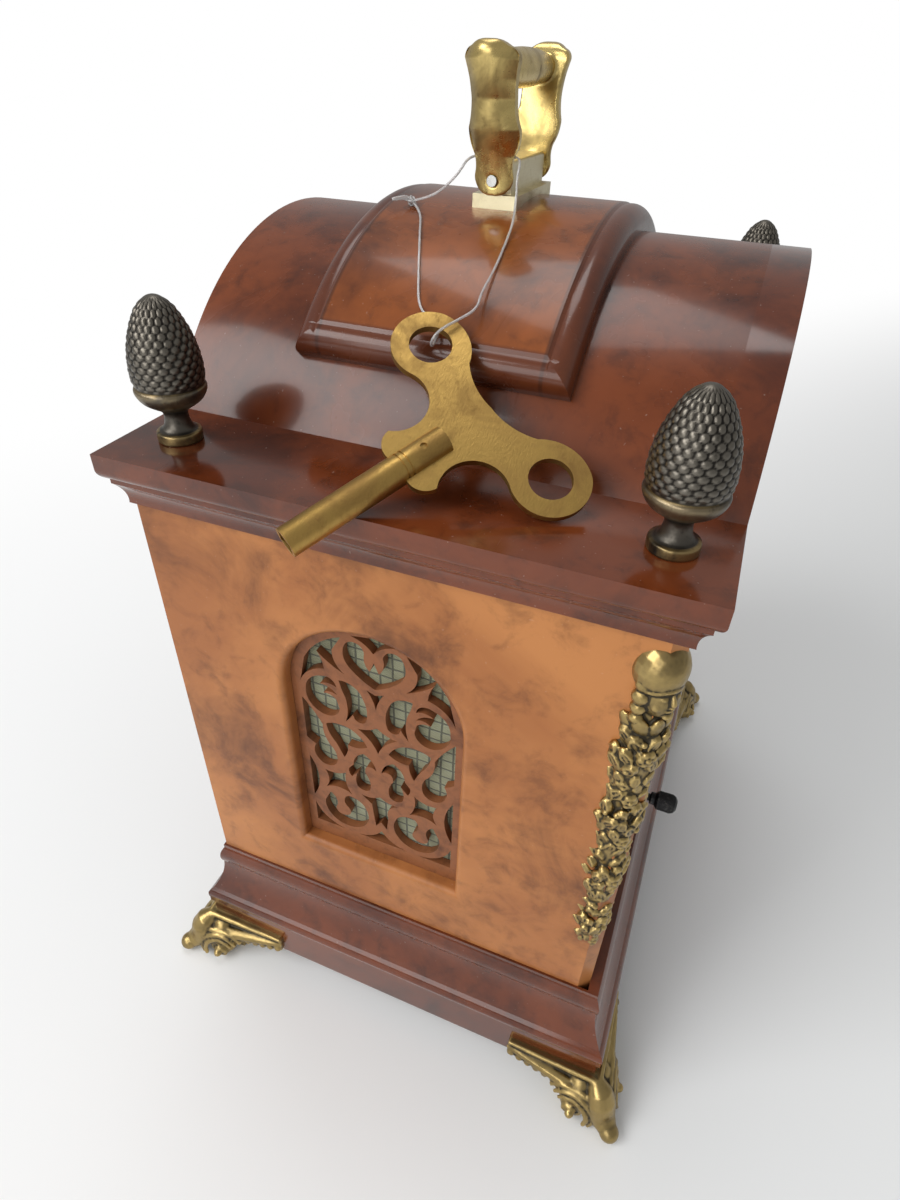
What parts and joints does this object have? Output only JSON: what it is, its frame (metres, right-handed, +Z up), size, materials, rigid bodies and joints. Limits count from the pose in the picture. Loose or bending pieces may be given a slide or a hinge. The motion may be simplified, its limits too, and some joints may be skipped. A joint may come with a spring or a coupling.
{
  "type": "bracket clock",
  "caption": "Table clock with a barrel roof, carrying handle, pierced side windows, corner finials, cast feet and hinged doors, with its winding key.",
  "frame": {"origin": "on the floor under the middle of the bounding box", "axes": "+Z up, the glazed door and dial face -Y, +X to the right seen from the front"},
  "size_m": [0.27, 0.2074, 0.3429],
  "materials": {
    "antique_brass": "antique cast brass with dark patina",
    "bell_metal": "turned bell metal",
    "black_metal": "black lacquered metal",
    "block_brass": "brushed pale brass",
    "blued_steel": "blued steel",
    "case_veneer": "glossy lacquered mahogany burl veneer",
    "chapter_silver": "silvered and brushed",
    "clear_nylon": "clear thread",
    "dial_brass": "matted gilt brass",
    "door_glass": "clear flat glass",
    "finial_bronze": "black-bronze with brassy ring",
    "fret_cloth": "woven silk cloth",
    "fret_wood": "satin varnished pierced wood",
    "handle_brass": "smooth aged brass",
    "hinge_brass": "satin brass",
    "key_brass": "raw brushed brass with stains",
    "movement_brass": "lacquered sheet brass",
    "movement_steel": "turned steel",
    "pin_steel": "brushed steel",
    "plain_wood": "plain unfinished board",
    "roof_veneer": "glossy dark red-brown veneer",
    "side_veneer": "glossy lacquered lighter burl veneer"
  },
  "bodies": {
    "root": {"arch_boss": "chapter_silver", "back_frame": "case_veneer", "back_left_foot": "antique_brass", "back_plate": "movement_brass", "back_right_foot": "antique_brass", "base_moulding": "case_veneer", "bell": "bell_metal", "bell_stand": "movement_steel", "chapter_ring": "chapter_silver", "corner_finials": "finial_bronze", "cornice_moulding": "case_veneer", "dial_plate": "dial_brass", "dial_spandrels": "dial_brass", "floor_board": "plain_wood", "fret_cloths": "fret_cloth", "front_frame": "case_veneer", "front_left_foot": "antique_brass", "front_plate": "movement_brass", "front_right_foot": "antique_brass", "handle_base": "block_brass", "handle_pin": "pin_steel", "hinge_case_leaves": "hinge_brass", "left_corner_mount": "antique_brass", "left_fret": "fret_wood", "left_side_panel": "side_veneer", "nylon_thread": "clear_nylon", "plate_pillars": "movement_brass", "plinth_frame": "case_veneer", "raised_roof_panel": "roof_veneer", "right_corner_mount": "antique_brass", "right_fret": "fret_wood", "right_side_panel": "side_veneer", "roof_back_board": "roof_veneer", "roof_front_arch": "case_veneer", "roof_shell": "roof_veneer", "seat_board": "plain_wood", "top_board": "case_veneer"},
    "handle": {"carrying_handle": "handle_brass"},
    "front_door": {"front_door_frame": "case_veneer", "front_door_glass": "door_glass", "glazing_bead": "case_veneer", "door_knob": "black_metal", "knob_plate": "black_metal", "front_door_hinge_leaves": "hinge_brass"},
    "back_door": {"back_door": "case_veneer", "back_door_knob": "hinge_brass", "back_door_hinge_leaves": "hinge_brass"},
    "minute": {"centre_wheel": "movement_brass", "minute_hand": "blued_steel"},
    "hour": {"hour_wheel": "movement_brass", "hour_hand": "blued_steel"},
    "motion": {"minute_wheel": "movement_brass"},
    "third": {"third_wheel": "movement_brass"},
    "escape": {"escape_wheel": "movement_brass"},
    "time_train": {"time_barrel": "movement_brass"},
    "strike_train": {"strike_barrel": "movement_brass"},
    "hammer_arm": {"hammer": "movement_steel"},
    "balance": {"balance_wheel": "movement_brass"},
    "key": {"key_barrel": "key_brass", "key_wings": "key_brass"}
  },
  "joints": [
    {"name": "handle_swing", "type": "hinge", "parent": "root", "child": "handle", "pos_m": [0, 0.0078, 0.3099], "axis": [1, 0, 0], "range_deg": [-85, 85], "deforming": ["nylon_thread"]},
    {"name": "front_door_swing", "type": "hinge", "parent": "root", "child": "front_door", "pos_m": [0.09925, -0.07995, 0.15], "axis": [0, 0, 1], "range_deg": [0, 110]},
    {"name": "back_door_swing", "type": "hinge", "parent": "root", "child": "back_door", "pos_m": [-0.08475, 0.08295, 0.15], "axis": [0, 0, 1], "range_deg": [0, 110]},
    {"name": "minute_turn", "type": "hinge", "parent": "root", "child": "minute", "pos_m": [0, -0.045, 0.1502], "axis": [0, 1, 0], "continuous": true},
    {"name": "hour_turn", "type": "hinge", "parent": "root", "child": "hour", "pos_m": [0, -0.045, 0.1502], "axis": [0, 1, 0], "continuous": true},
    {"name": "motion_turn", "type": "hinge", "parent": "root", "child": "motion", "pos_m": [0, -0.045, 0.131], "axis": [0, 1, 0], "continuous": true},
    {"name": "third_turn", "type": "hinge", "parent": "root", "child": "third", "pos_m": [-0.008, 0, 0.1741], "axis": [0, 1, 0], "continuous": true},
    {"name": "escape_turn", "type": "hinge", "parent": "root", "child": "escape", "pos_m": [0.0129, 0, 0.1822], "axis": [0, 1, 0], "continuous": true},
    {"name": "time_barrel_turn", "type": "hinge", "parent": "root", "child": "time_train", "pos_m": [0.034, 0, 0.1282], "axis": [0, 1, 0], "continuous": true},
    {"name": "strike_barrel_turn", "type": "hinge", "parent": "root", "child": "strike_train", "pos_m": [-0.034, 0, 0.1282], "axis": [0, 1, 0], "continuous": true},
    {"name": "hammer_swing", "type": "hinge", "parent": "root", "child": "hammer_arm", "pos_m": [-0.036, 0, 0.1882], "axis": [0, 1, 0], "range_deg": [-14, 0], "stiffness_Nm_per_rad": 0.02},
    {"name": "balance_swing", "type": "hinge", "parent": "root", "child": "balance", "pos_m": [0.03, 0.012, 0.1802], "axis": [0, 1, 0], "range_deg": [-150, 150], "stiffness_Nm_per_rad": 0.0002},
    {"name": "key_lift", "type": "slide", "parent": "root", "child": "key", "axis": [-0.5009, -0.2404, 0.8315], "range_m": [0, 0.15]}
  ],
  "couplings": [
    {"joint": "hour_turn", "follows": "minute_turn", "ratio": 0.083333},
    {"joint": "motion_turn", "follows": "minute_turn", "ratio": -0.33333},
    {"joint": "third_turn", "follows": "minute_turn", "ratio": -6},
    {"joint": "escape_turn", "follows": "minute_turn", "ratio": 36},
    {"joint": "time_barrel_turn", "follows": "minute_turn", "ratio": -0.25}
  ]
}
